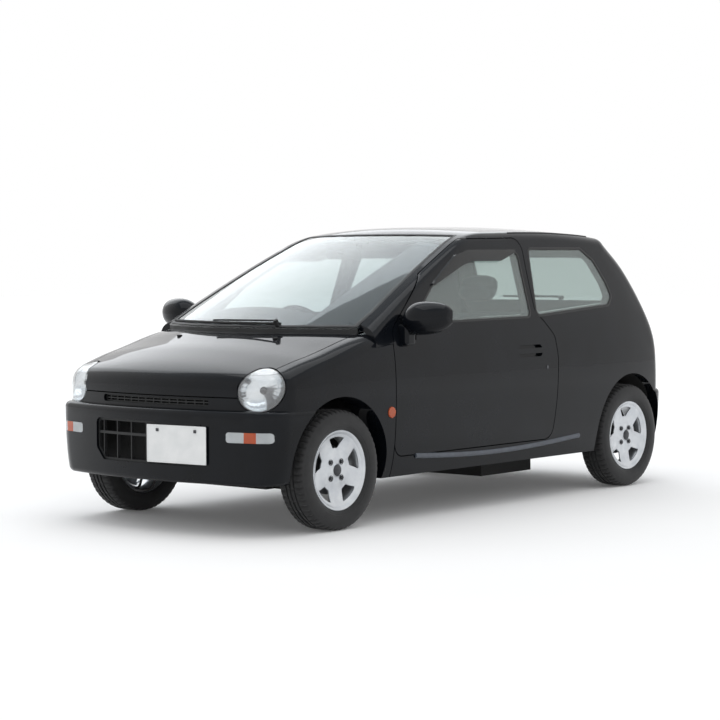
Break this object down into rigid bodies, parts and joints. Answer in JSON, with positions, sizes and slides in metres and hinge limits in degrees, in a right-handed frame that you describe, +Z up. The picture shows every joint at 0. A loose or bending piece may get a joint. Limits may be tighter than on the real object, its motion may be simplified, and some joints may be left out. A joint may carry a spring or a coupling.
{
  "type": "kei hatchback car",
  "caption": "Small three-door kei hatchback with rounded nose, hinged doors, bonnet and tailgate, steered front wheels and turning road wheels.",
  "frame": {"origin": "on the ground, under the middle of the car's length and width", "axes": "+X to the front, +Y to the left side, +Z up"},
  "size_m": [3.297, 1.784, 1.3532],
  "materials": {
    "paint": "gloss black",
    "window_glass": "clear with a faint green tint",
    "lamp_clear": "clear lens over a bright reflector",
    "lamp_amber": "moulded lens",
    "lamp_red": "moulded lens",
    "underbody": "satin black",
    "trim_plastic": "grained",
    "seat_cloth": "woven",
    "exhaust_steel": "dull",
    "alloy": "silver lacquer",
    "tyre_rubber": "moulded"
  },
  "bodies": {
    "chassis": {"bulkhead": "underbody", "cowl": "trim_plastic", "dashboard": "trim_plastic", "engine_block": "underbody", "exhaust": "exhaust_steel", "fender_left": "paint", "fender_right": "paint", "floor_pan": "underbody", "front_bumper": "paint", "front_seats": "seat_cloth", "front_suspension": "underbody", "fuel_tank": "underbody", "grilles": "trim_plastic", "headlamps": "lamp_clear", "quarter_glass": "window_glass", "radiator": "underbody", "rear_axle": "underbody", "rear_bench": "seat_cloth", "rear_bumper": "paint", "roof_panel": "paint", "side_left": "paint", "side_right": "paint", "signal_lamps": "lamp_amber", "tail_lamps": "lamp_red", "windscreen": "window_glass", "wipers": "trim_plastic"},
    "bonnet": {"bonnet": "paint"},
    "tailgate": {"tailgate": "paint", "tailgate_glass": "window_glass", "rear_wiper": "trim_plastic"},
    "door_left": {"door_left": "paint", "door_glass_left": "window_glass", "mirror_left": "paint"},
    "door_right": {"door_right": "paint", "door_glass_right": "window_glass", "mirror_right": "paint"},
    "knuckle_left": {"knuckle_left": "underbody"},
    "knuckle_right": {"knuckle_right": "underbody"},
    "steering_wheel": {"steering_wheel": "trim_plastic"},
    "wheel_fl": {"tyre_fl": "tyre_rubber", "rim_fl": "alloy"},
    "wheel_fr": {"tyre_fr": "tyre_rubber", "rim_fr": "alloy"},
    "wheel_rl": {"tyre_rl": "tyre_rubber", "rim_rl": "alloy"},
    "wheel_rr": {"tyre_rr": "tyre_rubber", "rim_rr": "alloy"}
  },
  "joints": [
    {"name": "steer_left", "type": "hinge", "parent": "chassis", "child": "knuckle_left", "pos_m": [1.1115, 0.54, 0.266], "axis": [0, 0, 1], "range_deg": [-30, 30]},
    {"name": "steer_right", "type": "hinge", "parent": "chassis", "child": "knuckle_right", "pos_m": [1.1115, -0.54, 0.266], "axis": [0, 0, 1], "range_deg": [-30, 30]},
    {"name": "steering_turn", "type": "hinge", "parent": "chassis", "child": "steering_wheel", "pos_m": [0.2261, -0.31, 0.7861], "axis": [-0.9063, 0, 0.4226], "range_deg": [-480, 480]},
    {"name": "spin_fl", "type": "hinge", "parent": "knuckle_left", "child": "wheel_fl", "pos_m": [1.1115, 0.606, 0.266], "axis": [0, 1, 0], "continuous": true},
    {"name": "spin_fr", "type": "hinge", "parent": "knuckle_right", "child": "wheel_fr", "pos_m": [1.1115, -0.606, 0.266], "axis": [0, 1, 0], "continuous": true},
    {"name": "spin_rl", "type": "hinge", "parent": "chassis", "child": "wheel_rl", "pos_m": [-1.2185, 0.606, 0.266], "axis": [0, 1, 0], "continuous": true},
    {"name": "spin_rr", "type": "hinge", "parent": "chassis", "child": "wheel_rr", "pos_m": [-1.2185, -0.606, 0.266], "axis": [0, 1, 0], "continuous": true},
    {"name": "door_left_swing", "type": "hinge", "parent": "chassis", "child": "door_left", "pos_m": [0.7465, 0.7, 0.58], "axis": [0, 0.0599, -0.9982], "range_deg": [0, 65]},
    {"name": "door_right_swing", "type": "hinge", "parent": "chassis", "child": "door_right", "pos_m": [0.7465, -0.7, 0.58], "axis": [0, 0.0599, 0.9982], "range_deg": [0, 65]},
    {"name": "bonnet_lift", "type": "hinge", "parent": "chassis", "child": "bonnet", "pos_m": [0.8915, 0, 0.85], "axis": [0, -1, 0], "range_deg": [0, 50]},
    {"name": "tailgate_lift", "type": "hinge", "parent": "chassis", "child": "tailgate", "pos_m": [-1.18139, 0, 1.318], "axis": [0, 1, 0], "range_deg": [0, 75]}
  ],
  "couplings": [
    {"joint": "steer_right", "follows": "steer_left", "ratio": 1},
    {"joint": "steering_turn", "follows": "steer_left", "ratio": 16}
  ]
}
